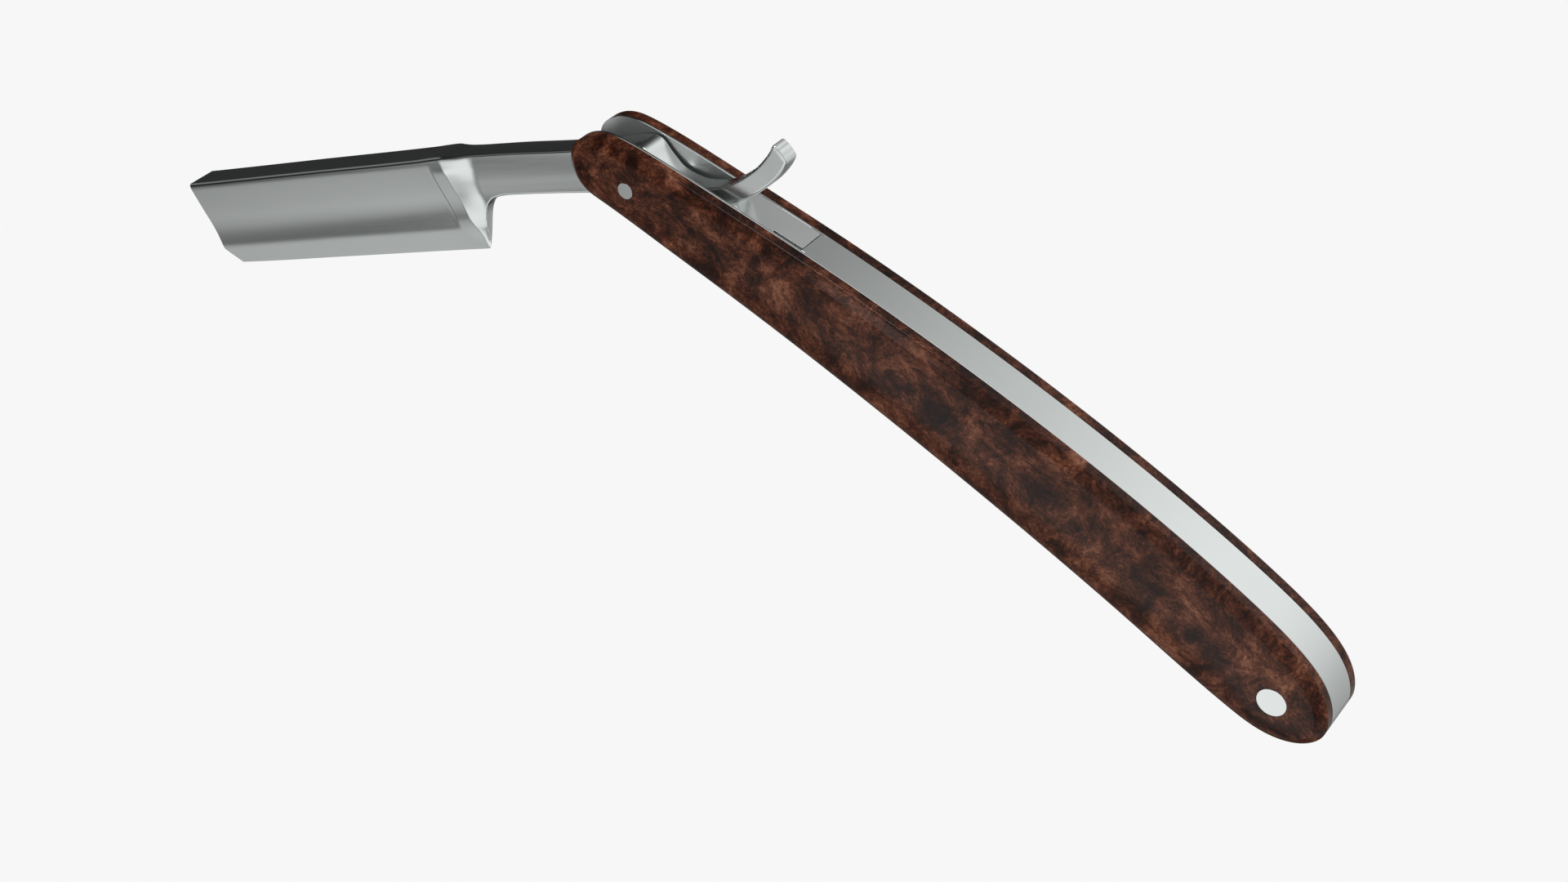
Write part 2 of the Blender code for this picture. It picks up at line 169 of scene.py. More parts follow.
# Where the blade's sections are along it: from, to and how many.
SECTION_RUNS = (
    (-117.8, -54.0, 18), (-53.0, -51.2, 4), (COVE_START_X, COVE_WALL_X, 6), (STRIP_X, -36.0, 64),
    (-34.5, 0.0, 24),
)

# Where a section has its points: in the ground blade by depth, in the shank by edge radii from both edges.
FACE_ROWS = (0.0, 0.12, 0.17, 0.22, 0.3, 0.38, 0.48, 0.6, 0.8, 1.0)
SHANK_ROWS = (0.0, 0.08, 0.2, 0.36, 0.55, 0.78, 1.0, 1.35, 1.9)
MIDDLE_ROWS = 28
ROWS_CHANGE = (-46.0, 5.0)   # where the one spacing starts to give way to the other, and over how much


def closed_spline(points, steps):
    """A smooth closed curve through the points: a periodic cubic spline over the chord length."""
    knots = np.array(points, float)
    count = len(knots)
    chord = np.linalg.norm(np.roll(knots, -1, axis=0) - knots, axis=1)
    matrix = np.zeros((count, count))
    right = np.zeros((count, 2))
    for i in range(count):
        before, after = chord[i - 1], chord[i]
        matrix[i, i - 1] = before
        matrix[i, i] = 2 * (before + after)
        matrix[i, (i + 1) % count] = after
        rise = (knots[(i + 1) % count] - knots[i]) / after
        fall = (knots[i] - knots[i - 1]) / before
        right[i] = 6 * (rise - fall)
    bend = np.linalg.solve(matrix, right)
    curve = []
    for i in range(count):
        after = (i + 1) % count
        for step in range(steps):
            t = step / steps
            u = 1 - t
            point = u * knots[i] + t * knots[after]
            point += chord[i] ** 2 / 6 * ((u**3 - u) * bend[i] + (t**3 - t) * bend[after])
            curve.append(point)
    return np.array(curve)


def smooth_line(line, x):
    """A line through (x, value) pairs that never overshoots them: a monotone cubic."""
    xs = np.array([p[0] for p in line], float)
    ys = np.array([p[1] for p in line], float)
    if x <= xs[0]:
        return float(ys[0])
    if x >= xs[-1]:
        return float(ys[-1])
    step = np.diff(xs)
    rise = np.diff(ys) / step
    slope = np.zeros(len(xs))
    slope[0], slope[-1] = rise[0], rise[-1]
    for i in range(1, len(xs) - 1):
        if rise[i - 1] * rise[i] > 0:
            slope[i] = 2 * rise[i - 1] * rise[i] / (rise[i - 1] + rise[i])
    i = int(np.searchsorted(xs, x)) - 1
    t = (x - xs[i]) / step[i]
    value = ys[i] * (1 + 2 * t) * (1 - t) ** 2 + slope[i] * step[i] * t * (1 - t) ** 2
    value += ys[i + 1] * t * t * (3 - 2 * t) + slope[i + 1] * step[i] * t * t * (t - 1)
    return float(value)


def inset(outline, distance):
    """The outline moved inwards along its own normals, by one distance or by one for each point."""
    along = np.roll(outline, -1, axis=0) - np.roll(outline, 1, axis=0)
    along /= np.linalg.norm(along, axis=1)[:, None]
    inwards = np.stack([along[:, 1], -along[:, 0]], axis=1)
    return outline + inwards * np.broadcast_to(np.asarray(distance, float), len(outline))[:, None]


def circle(x, y, radius):
    """The points of a hole's or a pin's outline."""
    turns = np.arange(HOLE_SIDES) * 2 * math.pi / HOLE_SIDES
    return np.stack([x + radius * np.cos(turns), y + radius * np.sin(turns)], axis=1)


def mesh_object(name, bm, finish, sharp_degrees=30.0):
    """A smooth-shaded object of the mesh, with edges sharp where its faces turn by more than the angle."""
    bmesh.ops.recalc_face_normals(bm, faces=bm.faces)
    mesh = bpy.data.meshes.new(name)
    bm.to_mesh(mesh)
    bm.free()
    mesh.shade_smooth()
    mesh.set_sharp_from_angle(angle=math.radians(sharp_degrees))
    mesh.materials.append(finish)
    made = bpy.data.objects.new(name, mesh)
    bpy.context.scene.collection.objects.link(made)
    return made


def add_rings(bm, rings):
    """Side faces between rings of equally many points. Returns the first and the last ring's vertices."""
    made = [[bm.verts.new(Vector(point) * MM) for point in ring] for ring in rings]
    for lower, upper in zip(made, made[1:]):
        for i in range(len(lower)):
            after = (i + 1) % len(lower)
            bm.faces.new((lower[i], lower[after], upper[after], upper[i]))
    return made[0], made[-1]


def fill(bm, loops):
    """A flat face inside the first loop of vertices, with the other loops left open as holes."""
    edges = []
    for loop in loops:
        for i in range(len(loop)):
            edge = bm.edges.get((loop[i], loop[(i + 1) % len(loop)]))
            edges.append(edge or bm.edges.new((loop[i], loop[(i + 1) % len(loop)])))
    bmesh.ops.triangle_fill(bm, use_beauty=True, use_dissolve=False, edges=edges)


def plate(name, levels, holes, finish, sharp_degrees):
    """A solid over outlines at heights, with round holes (x, y, radius) right through it."""
    bm = bmesh.new()
    walls = [levels]
    for hole in holes:
        walls.append([(z, circle(*hole)) for z in (levels[0][0], levels[-1][0])])
    ends = [add_rings(bm, [[(x, y, z) for x, y in outline] for z, outline in wall]) for wall in walls]
    fill(bm, [first for first, last in ends])
    fill(bm, [last for first, last in ends])
    return mesh_object(name, bm, finish, sharp_degrees)


def back_height(outline, x):
    """The height (Y) of the handle's back at x."""
    upper = outline[outline[:, 1] > 0.0]
    order = np.argsort(upper[:, 0])
    return float(np.interp(x, upper[order, 0], upper[order, 1]))


# ---------------------------------------------------------------- node helpers


class Graph:
    """A small writer for shader nodes."""

    def __init__(self, tree):
        self.tree = tree

    def feed(self, socket, value):
        """Link another node's output to the socket, or set the socket to a plain value."""
        if isinstance(value, bpy.types.NodeSocket):
            self.tree.links.new(value, socket)
        else:
            socket.default_value = value

    def add(self, kind, inputs=None, **settings):
        made = self.tree.nodes.new(kind)
        for name, value in settings.items():
            setattr(made, name, value)
        for name, value in (inputs or {}).items():
            self.feed(made.inputs[name], value)
        return made

    def math(self, operation, first, second=0.0):
        return self.add("ShaderNodeMath", {0: first, 1: second}, operation=operation).outputs[0]

    def plus(self, first, second):
        return self.math("ADD", first, second)

    def minus(self, first, second):
        return self.math("SUBTRACT", first, second)

    def times(self, first, second):
        return self.math("MULTIPLY", first, second)

    def remap(self, value, low, high, to_low, to_high):
        inputs = {"Value": value, "From Min": low, "From Max": high, "To Min": to_low, "To Max": to_high}
        return self.add("ShaderNodeMapRange", inputs).outputs["Result"]

    def fade_in(self, value, low, high):
        return self.remap(value, low, high, 0.0, 1.0)

    def fade_out(self, value, low, high):
        return self.remap(value, low, high, 1.0, 0.0)

    def window(self, value, low, low_full, high_full, high):
        """1 between the two middle values, and fading to 0 at the outer two."""
        return self.times(self.fade_in(value, low, low_full), self.fade_out(value, high_full, high))

    def ramp(self, factor, stops):
        made = self.add("ShaderNodeValToRGB", {"Fac": factor})
        points = made.color_ramp.elements
        while len(points) < len(stops):
            points.new(0.5)
        for point, (position, colour) in zip(points, stops):
            point.position = position
            point.color = (*colour, 1.0)
        return made.outputs["Color"]

    def mix(self, factor, first, second, blend="MIX"):
        """A mix of two colours, each one a node's output or a tuple."""
        made = self.add("ShaderNodeMix", {0: factor}, data_type="RGBA", blend_type=blend, clamp_factor=True)
        for socket, value in ((made.inputs[6], first), (made.inputs[7], second)):
            self.feed(socket, (*value, 1.0) if isinstance(value, tuple) else value)
        return made.outputs[2]

    def noise(self, vector, scale, detail=2.0, roughness=0.5, distortion=0.0, output="Fac"):
        inputs = {"Vector": vector, "Scale": scale, "Detail": detail, "Roughness": roughness,
                  "Distortion": distortion}
        return self.add("ShaderNodeTexNoise", inputs).outputs[output]

    def vector(self, operation, first, second):
        return self.add("ShaderNodeVectorMath", {0: first, 1: second}, operation=operation).outputs[0]

    def scaled(self, vector, factor):
        return self.add("ShaderNodeVectorMath", {0: vector, "Scale": factor}, operation="SCALE").outputs[0]

    def parts(self, vector):
        """The vector's X, Y and Z."""
        return tuple(self.add("ShaderNodeSeparateXYZ", {0: vector}).outputs)


# ---------------------------------------------------------------- materials


STEEL = (0.61, 0.63, 0.625)
# Painted light: the stop plate's steel is a lighter copy of the handle's steel, so that its face shows
# brighter.
PLATE_PAINTED_LIGHT_STEEL = (0.94, 0.955, 0.95)
DOWEL_STEEL = (0.5, 0.51, 0.51)
SLOT_PAINTED_LIGHT_STEEL = (0.96, 0.975, 0.97)         # painted light: a lighter copy of the steel on the liners' faces along the slot
SLOT_ROUGHNESS = 0.38
SLOT_FACE_REACH = (0.003, 0.006)         # a face counts as the slot's within this much of its height
SHADE_CHANGE = 0.008                     # the steel's shade and roughness vary by this much
ROUGHNESS_CHANGE = 0.008
TAIL_SOFTENS = (-4.0, 3.0)               # along the blade, where its steel gets softer, and by how much
TAIL_SOFTER_BY = 0.10
BRASS_SHADES = ((0.62, 0.43, 0.17), (0.44, 0.29, 0.11))

# The burl's colours by its tone, and what each part of its figure adds to that tone.
BURL_COLOURS = (
    (0.33, (0.011, 0.0050, 0.0036)), (0.42, (0.033, 0.0102, 0.0058)), (0.49, (0.078, 0.0225, 0.0118)),
    (0.56, (0.148, 0.0465, 0.0240)), (0.65, (0.270, 0.1010, 0.0550)), (0.77, (0.45, 0.21, 0.130)),
)
BASE_TONE = 0.016
CLOUD_WEIGHT = 0.60
PATCH_WEIGHT = 0.36
CURL_WEIGHT = 0.060
FIBRE_WEIGHT = 0.40
SPECK_WEIGHT = 0.36
RING_WEIGHT = 0.07
CORE_WEIGHT = -0.16
DUSKY = (0.62, 0.66, 0.74)               # the colour that multiplies its duller areas
BURL_SPECULAR = 0.14
FAR_BURL_OFFSET = (31.0, 47.0, 12.0)     # millimetres, so that the far scale has its own figure


def new_material(name):
    made = bpy.data.materials.new(name)
    made.use_nodes = True
    graph = Graph(made.node_tree)
    return made, graph, made.node_tree.nodes["Principled BSDF"]


def millimetres(graph, offset=(0.0, 0.0, 0.0)):
    """The piece's own coordinates in millimetres."""
    place = graph.add("ShaderNodeTexCoord").outputs["Object"]
    return graph.vector("ADD", graph.scaled(place, 1.0 / MM), offset)


def burl_eyes(graph, place):
    """The dark cores of the burl's eyes, and the rings round them. Only some of its cells have them."""
    inputs = {"Vector": place, "Scale": 0.13, "Randomness": 1.0}
    cells = graph.add("ShaderNodeTexVoronoi", inputs, feature="F1")
    reach = cells.outputs["Distance"]
    which = graph.add("ShaderNodeSeparateColor", {0: cells.outputs["Color"]}).outputs[0]
    core = graph.times(graph.fade_out(reach, 0.04, 0.13), graph.fade_in(which, 0.45, 0.55))
    ring = graph.fade_in(graph.math("PINGPONG", graph.minus(reach, 0.02), 0.075), 0.052, 0.072)
    ring = graph.times(ring, graph.fade_out(reach, 0.10, 0.34))
    ring = graph.times(ring, graph.fade_out(which, 0.3, 0.6))
    return core, ring


def burl(name, offset=(0.0, 0.0, 0.0)):
    """Dark reddish-brown burl: clouded patches, streaks and curls that turn with them, and small eyes."""
    made, graph, shader = new_material(name)
    place = millimetres(graph, offset)

    def shift(scale, reach):
        colour = graph.noise(place, scale, output="Color")
        return graph.scaled(graph.vector("SUBTRACT", colour, (0.5, 0.5, 0.5)), reach)

    broad = graph.vector("ADD", place, shift(0.06, 12.0))
    warped = graph.vector("ADD", broad, shift(0.21, 4.0))

    def streaks(stretch, scale):
        stretched = graph.vector("MULTIPLY", warped, stretch)
        return graph.noise(stretched, scale, detail=3.0, roughness=0.66, distortion=0.1)

    cloud = graph.noise(broad, scale=0.14, detail=3.0, roughness=0.55, distortion=0.2)
    patch = graph.noise(warped, scale=0.36, roughness=0.6, distortion=0.3)
    turn = graph.fade_in(graph.noise(place, scale=0.11, detail=1.0), 0.46, 0.54)
    fibre = graph.mix(turn, streaks((0.65, 1.6, 1.0), 0.85), streaks((1.6, 0.7, 1.0), 0.80))
    grains = graph.vector("MULTIPLY", broad, (1.0, 1.3, 1.0))
    speck = graph.noise(grains, scale=1.9, detail=3.0, roughness=0.62, distortion=0.3)
    core, ring = burl_eyes(graph, graph.vector("ADD", place, shift(0.5, 1.6)))

    # A curl is a thin line along one level of a smooth noise, in some areas only.
    contour = graph.noise(warped, scale=0.42, detail=1.5, distortion=0.5)
    curl = graph.fade_out(graph.math("ABSOLUTE", graph.minus(contour, 0.52)), 0.0, 0.017)
    curl = graph.times(curl, graph.fade_in(graph.noise(place, scale=0.19, detail=1.0), 0.45, 0.60))

    tone = graph.plus(graph.times(cloud, CLOUD_WEIGHT), graph.times(patch, PATCH_WEIGHT))
    tone = graph.plus(graph.plus(tone, BASE_TONE), graph.times(curl, CURL_WEIGHT))
    lively = graph.remap(tone, 0.40, 0.60, 0.25, 1.0)
    tone = graph.plus(tone, graph.times(graph.times(graph.minus(fibre, 0.5), FIBRE_WEIGHT), lively))
    tone = graph.plus(tone, graph.times(graph.minus(speck, 0.5), SPECK_WEIGHT))
    tone = graph.plus(tone, graph.times(ring, RING_WEIGHT))
    tone = graph.plus(tone, graph.times(core, CORE_WEIGHT))
    dusk = graph.remap(graph.noise(broad, scale=0.16), 0.53, 0.68, 0.0, 0.6)
    colour = graph.mix(dusk, graph.ramp(tone, BURL_COLOURS), DUSKY, "MULTIPLY")

    graph.feed(shader.inputs["Base Color"], colour)
    graph.feed(shader.inputs["Roughness"], graph.remap(fibre, 0.3, 0.7, 0.17, 0.11))
    bump = graph.add("ShaderNodeBump", {"Height": fibre, "Strength": 0.03, "Distance": 0.0001})
    graph.feed(shader.inputs["Normal"], bump.outputs["Normal"])
    shader.inputs["Specular IOR Level"].default_value = BURL_SPECULAR
    return made


def steel(name, shade, roughness, angle=0.0, painted_light_face=None, softer_tail=False):
    """Fine satin steel. Its shade, gloss and surface vary a little along the piece.

    Given the height of a slot face (in millimetres), the face at that height gets painted light, a lighter
    copy of the steel's colour that brightens it, and is rougher than the rest. With softer_tail, the steel
    gets rougher from the blade's tang to its tail.
    """
    made, graph, shader = new_material(name)
    place = millimetres(graph)
    turned = graph.add("ShaderNodeVectorRotate", {"Vector": place, "Angle": -math.radians(angle)},
                       rotation_type="Z_AXIS").outputs["Vector"]
    lines = graph.noise(graph.vector("MULTIPLY", turned, (0.1, 2.0, 2.0)), scale=1.6)
    broad = graph.noise(turned, scale=0.07)
    darker = tuple(part * (1 - SHADE_CHANGE) for part in shade)
    lighter = tuple(part * (1 + SHADE_CHANGE) for part in shade)
    colour = graph.mix(graph.fade_in(lines, 0.35, 0.65), darker, lighter)
    varied = graph.plus(
        graph.remap(lines, 0.3, 0.7, -ROUGHNESS_CHANGE, ROUGHNESS_CHANGE),
        graph.remap(broad, 0.3, 0.7, roughness - ROUGHNESS_CHANGE, roughness + ROUGHNESS_CHANGE),
    )
    if softer_tail:
        along = graph.parts(turned)[0]
        varied = graph.plus(varied, graph.remap(along, *TAIL_SOFTENS, 0.0, TAIL_SOFTER_BY))
    # The slot face gets painted light: a lighter steel colour there brightens the shaded recess, and its
    # roughness rises too.
    if painted_light_face is not None:
        away = graph.math("ABSOLUTE", graph.minus(graph.parts(place)[2], painted_light_face))
        slot_painted_light_mask = graph.fade_out(away, *SLOT_FACE_REACH)
        colour = graph.mix(slot_painted_light_mask, colour, SLOT_PAINTED_LIGHT_STEEL)
        varied = graph.mix(slot_painted_light_mask, varied, (SLOT_ROUGHNESS,) * 3)

    graph.feed(shader.inputs["Base Color"], colour)
    graph.feed(shader.inputs["Roughness"], varied)
    bump = graph.add("ShaderNodeBump", {"Height": lines, "Strength": 0.01, "Distance": 0.00001})
    graph.feed(shader.inputs["Normal"], bump.outputs["Normal"])
    shader.inputs["Metallic"].default_value = 1.0
    return made


def brass(name):
    """Plain turned brass, with faint spots."""
    made, graph, shader = new_material(name)
    spots = graph.noise(millimetres(graph), scale=0.9, detail=4.0, roughness=0.6)
    graph.feed(shader.inputs["Base Color"], graph.mix(graph.fade_in(spots, 0.35, 0.7), *BRASS_SHADES))
    graph.feed(shader.inputs["Roughness"], graph.remap(spots, 0.3, 0.7, 0.24, 0.38))
    shader.inputs["Metallic"].default_value = 1.0
    return made


# ---------------------------------------------------------------- handle


def make_scale(name, node, outline, inner_z, outwards, holes, finish):
    """A burl scale: a straight wall next to the liner, a crisp ridge, a bevel and a flat outer face."""
    levels = [(inner_z + outwards * height, inset(outline, inwards)) for height, inwards in SCALE_SIDE]
    if outwards < 0:
        levels.reverse()
    scale = plate(name, levels, holes, finish, sharp_degrees=22.0)
    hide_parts(node)
    return scale


def make_liner(name, node, outline, low, high, bar_x, holes, finish, outer_is_high):
    """A thin steel liner. Its edges are broken, but not where it lies flush against the back bar."""
    wood_cut = NEAR_WOOD_CHAMFER if outer_is_high else FAR_WOOD_CHAMFER
    slot_cut = np.where((outline[:, 0] < bar_x) | (outline[:, 1] < 0.0), SLOT_CHAMFER, 0.0)
    slot_side, wood_side = (SLOT_CHAMFER, slot_cut), (wood_cut, wood_cut)
    low_side, high_side = (slot_side, wood_side) if outer_is_high else (wood_side, slot_side)
    levels = [
        (low, inset(outline, low_side[1])), (low + low_side[0], outline),
        (high - high_side[0], outline), (high, inset(outline, high_side[1])),
    ]
    liner = plate(name, levels, holes, finish, sharp_degrees=25.0)
    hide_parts(node)
    return liner


def bar_side(outline, start_x):
    """The back bar's side view: along the handle's back, round the butt, and back along its inner side."""
    upper = outline[(outline[:, 0] > start_x) & (outline[:, 1] > 0.0)]
    lower = outline[(outline[:, 0] > BAR_BLOCK_X) & (outline[:, 1] <= 0.0)]
    belly = outline[outline[:, 1] <= 0.0]
    belly = belly[np.argsort(belly[:, 0])]
    side = [(start_x, back_height(outline, start_x)), *upper, *lower]
    side.append((BAR_BLOCK_X, np.interp(BAR_BLOCK_X, belly[:, 0], belly[:, 1])))
    round_x = BAR_BLOCK_X - BAR_BLOCK_ROUND
    round_y = back_height(outline, round_x) - BAR_DEPTH - BAR_BLOCK_ROUND
    for turn in np.linspace(0.0, math.pi / 2, BAR_ROUND_STEPS):
        side.append((round_x + BAR_BLOCK_ROUND * math.cos(turn), round_y + BAR_BLOCK_ROUND * math.sin(turn)))
    for x in np.linspace(round_x, start_x, BAR_INNER_STEPS)[1:]:
        side.append((x, back_height(outline, x) - BAR_DEPTH))
    return np.array(side)


def make_back_bar(outline, low, high, start_x, holes, finish):
    """The steel spine between the liners, with its block at the butt."""
    side = bar_side(outline, start_x)
    bar = plate("back_bar_satin", [(low, side), (high, side)], holes, finish, sharp_degrees=25.0)
    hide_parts("back_bar")
    return bar


def make_stop_plate(outline, low, high, end_x, finish):
    """The plate under the tail, with broken edges and a slit beside the near liner."""
    slit_x, slit_z = end_x - STOP_SLIT_LENGTH, high - STOP_SLIT

    # Each corner seen from the back: its X and Z, and which way along each is outwards.
    corners = (
        (STOP_START_X, low, -1, -1), (STOP_START_X, high, -1, 1), (slit_x, high, 1, 1),
        (slit_x, slit_z, 1, 1), (end_x, slit_z, 1, 1), (end_x, low, 1, -1),
    )

    def level(drop, cut):
        ring = []
        for corner_x, corner_z, out_x, out_z in corners:
            x, z = corner_x - out_x * cut, corner_z - out_z * cut
            sink = STOP_SINK * (end_x - x) / (end_x - STOP_START_X)
            forwards = STOP_LEAN * drop / STOP_DEPTH if out_x < 0 else 0.0
            ring.append((x - forwards, back_height(outline, x) - sink - drop, z))
        return ring

    bm = bmesh.new()
    for end in add_rings(bm, [level(STOP_DEPTH, 0.0), level(STOP_CHAMFER, 0.0), level(0.0, STOP_CHAMFER)]):
        bm.faces.new(end)
    made = mesh_object("stop_plate_satin", bm, finish, sharp_degrees=20.0)
    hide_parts("stop_plate")
    return made


def make_pin(name, node, x, y, radius, low, high, finish):
    """A flush pin with flat ends and tiny broken edges."""
    end_radius = radius - PIN_CHAMFER
    upper, lower = high - PIN_CHAMFER, low + PIN_CHAMFER
    levels = [(high, end_radius), (upper, radius), (lower, radius), (low, end_radius)]
    bm = bmesh.new()
    for end in add_rings(bm, [[(px, py, z) for px, py in circle(x, y, r)] for z, r in levels]):
        bm.faces.new(end)
    pin = mesh_object(name, bm, finish, sharp_degrees=25.0)
    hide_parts(node)
    return pin


# ---------------------------------------------------------------- blade


def face_half(depth):
    """Half thickness of the ground face at a depth, from its slopes."""
    half = SPINE_BEVEL[-1][1]
    for (start, slope), (end, next_slope) in zip(FACE_SLOPES, FACE_SLOPES[1:]):
        if depth <= start:
            break
        run = min(depth, end) - start
        reached = slope + (next_slope - slope) * run / (end - start)
        half -= run * (slope + reached) / 2
    return half


def grind_half(depth, height):
    """Half thickness of the ground blade at a depth below its spine: bevel, face and edge."""
    if depth <= SPINE_BEVEL[-1][0]:
        return smooth_line(SPINE_BEVEL, depth)
    if depth <= FACE_END:
        return face_half(depth)
    share = (depth - FACE_END) / (height - FACE_END)
    return face_half(FACE_END) + (EDGE_HALF - face_half(FACE_END)) * share


def rounded(half, from_edge):
    """Half a thickness, rounded off within one edge radius of a long edge."""
    if from_edge >= SHANK_EDGE:
        return half
    short = 1.0 - from_edge / SHANK_EDGE
    return half - SHANK_EDGE * (1.0 - math.sqrt(max(0.0, 1.0 - short * short)))


def fade(value, start, run):
    """A smooth step from 0 at the start to 1 after the run."""
    t = min(1.0, max(0.0, (value - start) / run))
    return t * t * (3 - 2 * t)


def strip_part(full, depth, foot):
    """A height of the strip at a depth: full in the middle, and nothing at the spine and past the foot."""
    return full * fade(depth, *STRIP_TOP) * (1.0 - fade(depth, *foot))


def half_thickness(x, y, top, bottom):
    """Half the blade's thickness at a point: ground face, cove, strip, slope behind the ridge and shank."""
    depth = top - y
    height = top - bottom
    ground = grind_half(depth, max(height, FACE_END + LEAST_EDGE_RUN))
    if x <= COVE_START_X:
        return ground
    pocket = strip_part(POCKET, depth, POCKET_FOOT)
    ridge_x = smooth_line(RIDGE_LINE, y)
    if x <= STRIP_X:
        t = (x - COVE_START_X) / (COVE_WALL_X - COVE_START_X)
        wall = max(0.0, (x - COVE_WALL_X) / (STRIP_X - COVE_WALL_X))
        return ground + pocket * (COVE_SHARE * min(t, 1.0) ** 2 + (1.0 - COVE_SHARE) * wall)
    rise = strip_part(STRIP_RISE, depth, RISE_FOOT)
    ridge = ground + pocket + rise
    if x <= ridge_x:
        return ground + pocket + rise * (x - STRIP_X) / (ridge_x - STRIP_X)
    foot_x = smooth_line(SLOPE_FOOT, y)
    shank = smooth_line(SHANK_FACE, y)
    shank += (SHANK_HALF - shank) * fade(x, *TANG_START)
    t = (x - ridge_x) / max(foot_x - ridge_x, LEAST_SLOPE_RUN)
    if t >= 1.0:
        half = shank
    else:
        steep = 2.0 / (1.0 + SLOPE_BREAK)
        drop = steep * t
        if t > SLOPE_BREAK:
            drop -= steep * (t - SLOPE_BREAK) ** 2 / (2.0 * (1.0 - SLOPE_BREAK))
        half = ridge + (shank - ridge) * drop
    return half + (rounded(half, min(depth, y - bottom)) - half) * fade(x, ridge_x, EDGE_ROUND_RUN)


def shank_shares(height):
    """Shares of a section's height, close together where its long edges are round."""
    rows = [row * SHANK_EDGE / height for row in SHANK_ROWS]
    middle = np.linspace(rows[-1], 1.0 - rows[-1], MIDDLE_ROWS + 2)[1:-1]
    return [*rows, *middle, *(1.0 - share for share in reversed(rows))]


def blade_shares(x, height):
    """Shares of the height at which a section has its points: the same count everywhere."""
    shank = shank_shares(height)
    lower_rows = np.linspace(FACE_ROWS[-1], height, len(shank) - len(FACE_ROWS) + 1)[1:]
    ground = [depth / height for depth in (*FACE_ROWS, *lower_rows)]
    t = fade(x, *ROWS_CHANGE)
    return [g + (s - g) * t for g, s in zip(ground, shank)]


def nose_section():
    """The first section, along the nose: from the spine's corner through the bend to the edge's corner."""
    top, corner = SPINE_LINE[0], EDGE_LINE[0]
    rows = []
    for share in blade_shares(top[0], top[1] - corner[1]):
        y = top[1] + (corner[1] - top[1]) * share
        x = float(np.interp(-y, (-top[1], -NOSE_BEND[1], -corner[1]), (top[0], NOSE_BEND[0], corner[0])))
        rows.append((x, y, grind_half(top[1] - y, top[1] - corner[1])))
    return rows


def body_section(x):
    """The section at x, from the spine to the edge. A section's rows are X, Y and half thickness."""
    top, bottom = smooth_line(SPINE_LINE, x), smooth_line(EDGE_LINE, x)
    rows = []
    for share in blade_shares(x, top - bottom):
        y = top + (bottom - top) * share
        rows.append((x, y, half_thickness(x, y, top, bottom)))
    return rows


def blade_sections():
    """Sections from the nose to the pivot."""
    sections = [nose_section()]
    for run in SECTION_RUNS:
        sections += [body_section(x) for x in np.linspace(*run)]
    return sections


def tail_curve():
    """The tail's stations, with a smooth curve between them."""
    flat = np.array([(a[0], a[1], b[0], b[1], half) for a, b, half in TAIL_STATIONS])
    stations = [flat[0]]
    for i in range(len(flat) - 1):
        p0, p1 = flat[max(i - 1, 0)], flat[i]
        p2, p3 = flat[i + 1], flat[min(i + 2, len(flat) - 1)]
        for step in range(1, TAIL_STEPS + 1):
            t = step / TAIL_STEPS
            point = 0.5 * (2 * p1 + (p2 - p0) * t + (2 * p0 - 5 * p1 + 4 * p2 - p3) * t * t
                           + (3 * p1 - p0 - 3 * p2 + p3) * t**3)
            stations.append(point)
    return stations


def tail_sections():
    """Sections along the tail, then the smaller ones of its rounded end."""
    sections = []
    for top_x, top_y, low_x, low_y, half in tail_curve():
        height = math.hypot(top_x - low_x, top_y - low_y)
        rows = []
        for share in shank_shares(height):
            x = top_x + (low_x - top_x) * share
            y = top_y + (low_y - top_y) * share
            rows.append((x, y, rounded(half, height * min(share, 1.0 - share))))
        sections.append(rows)
    last, before = np.array(sections[-1]), np.array(sections[-2])
    outwards = (last - before).mean(axis=0)
    outwards /= np.linalg.norm(outwards)
    middle = last.mean(axis=0)
    for run, shrink in TAIL_CAP:
        rows = []
        for index, (x, y, half) in enumerate(last):
            share = index / (len(last) - 1)
            to_middle = np.array([middle[0] - x, middle[1] - y])
            reach = max(np.linalg.norm(to_middle), 1e-6)
            inwards = to_middle / reach * shrink * min(1.0, reach)
            out = run + TAIL_BULGE * 4.0 * share * (1.0 - share) * run / TAIL_CAP[-1][0]
            cap_x, cap_y = x + inwards[0] + outwards[0] * out, y + inwards[1] + outwards[1] * out
            rows.append((cap_x, cap_y, half - shrink * TAIL_CAP_THINNING))
        sections.append(rows)
    return sections


def make_blade(mid_z, finish):
    """The forging from nose to tail, built in its own frame and turned to where the photograph has it."""
    bm = bmesh.new()
    rings = []
    for rows in blade_sections() + tail_sections()[1:]:
        rings.append(rows + [(x, y, -half) for x, y, half in reversed(rows)])
    for ring in add_rings(bm, rings):
        for i in range(len(ring) // 2 - 1):
            bm.faces.new((ring[i], ring[i + 1], ring[-2 - i], ring[-1 - i]))
    blade = mesh_object("blade_forging", bm, finish, sharp_degrees=12.5)
    turn = Matrix.Rotation(math.radians(OPEN_ANGLE), 4, "Z")
    blade.data.transform(Matrix.Translation((0.0, 0.0, mid_z * MM)) @ turn)
    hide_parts("blade")
    return blade


# ---------------------------------------------------------------- studio


PALE = (0.930, 0.930, 0.930, 1.0)        # the floor, and what the camera sees beyond it
FLOOR_RADIUS = 12.0                      # metres
FLOOR_DROP = 0.0001                      # metres that the floor lies below the razor

